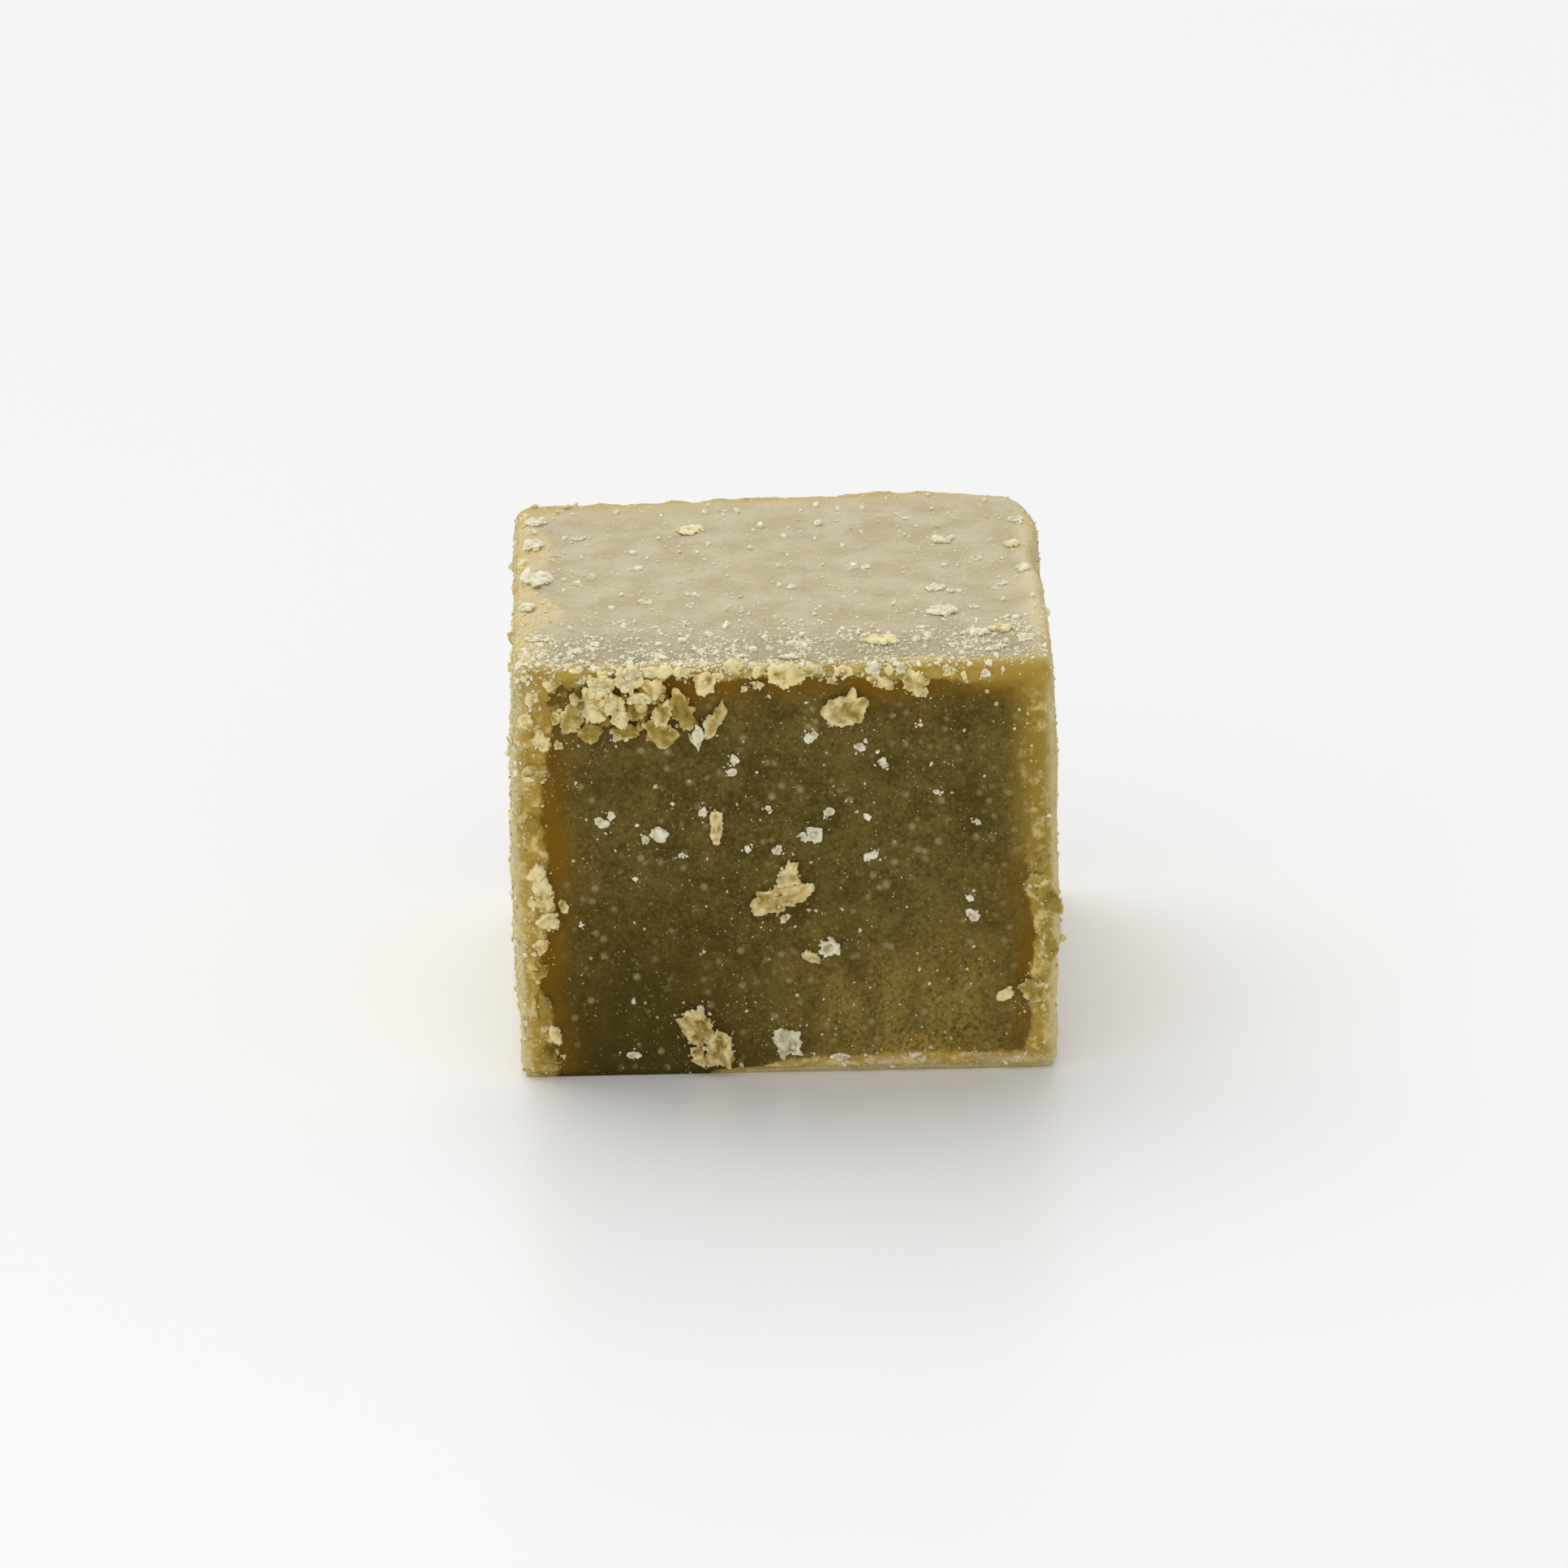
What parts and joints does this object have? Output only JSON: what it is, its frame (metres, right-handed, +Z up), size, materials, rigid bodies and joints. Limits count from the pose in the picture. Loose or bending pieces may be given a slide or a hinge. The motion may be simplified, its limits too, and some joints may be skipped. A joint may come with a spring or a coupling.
{
  "type": "hojicha nama chocolate",
  "caption": "Soft square-cut ganache block, a cube with a flat base, dried raised edges, crumbs and thin flakes stuck to its faces.",
  "frame": {"origin": "middle of the flat underside that the block rests on", "axes": "+Z up, away from the underside; -Y out of the clean-cut face that carries the crumb cluster; +X to that face's right, seen from in front of it"},
  "size_m": [0.0209, 0.0216, 0.0166],
  "materials": {
    "ganache": "soft matte ganache, olive brown on the cut faces, dusted pale khaki on top"
  },
  "bodies": {
    "root": {"nama_chocolate": "ganache"}
  },
  "joints": []
}
